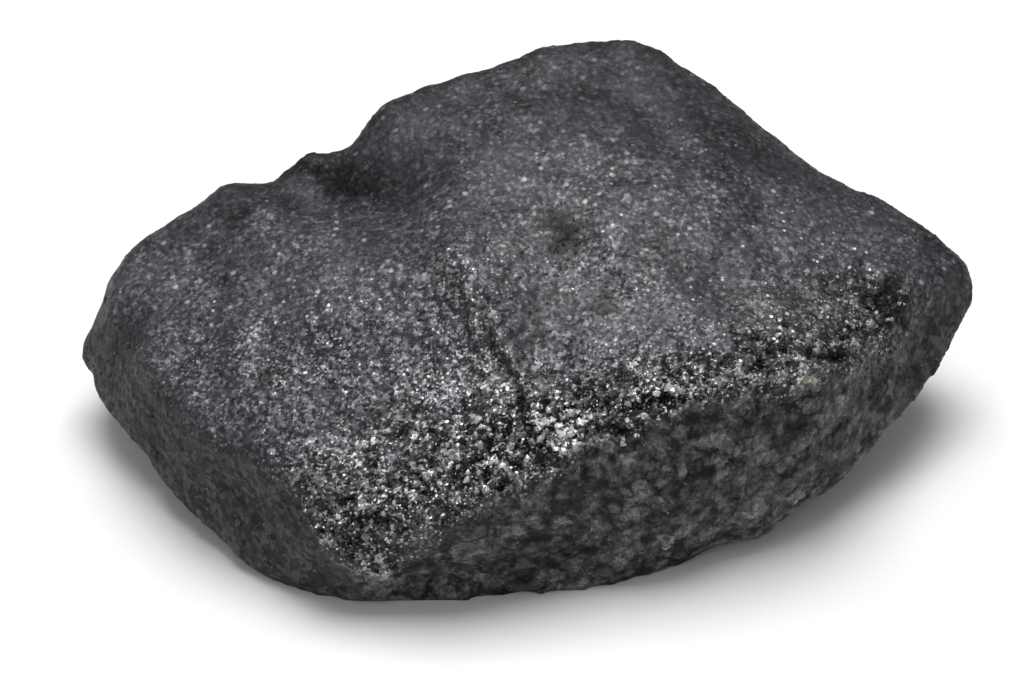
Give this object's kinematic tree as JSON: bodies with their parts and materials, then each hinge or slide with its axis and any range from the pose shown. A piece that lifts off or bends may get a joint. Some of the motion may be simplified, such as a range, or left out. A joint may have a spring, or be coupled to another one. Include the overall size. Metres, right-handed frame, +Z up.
{
  "type": "magnetite specimen",
  "caption": "Dark broken block of massive, granular magnetite with a domed crown, steep faces and a flat foot: a mineral hand specimen.",
  "frame": {"origin": "under the middle of the block, at the level of the flat foot", "axes": "+Z up, +X along the block's length, +Y from its low front to its high back"},
  "size_m": [0.0814, 0.0514, 0.0283],
  "materials": {
    "magnetite": "granular broken surface with a submetallic glint"
  },
  "bodies": {
    "root": {"magnetite": "magnetite"}
  },
  "joints": []
}
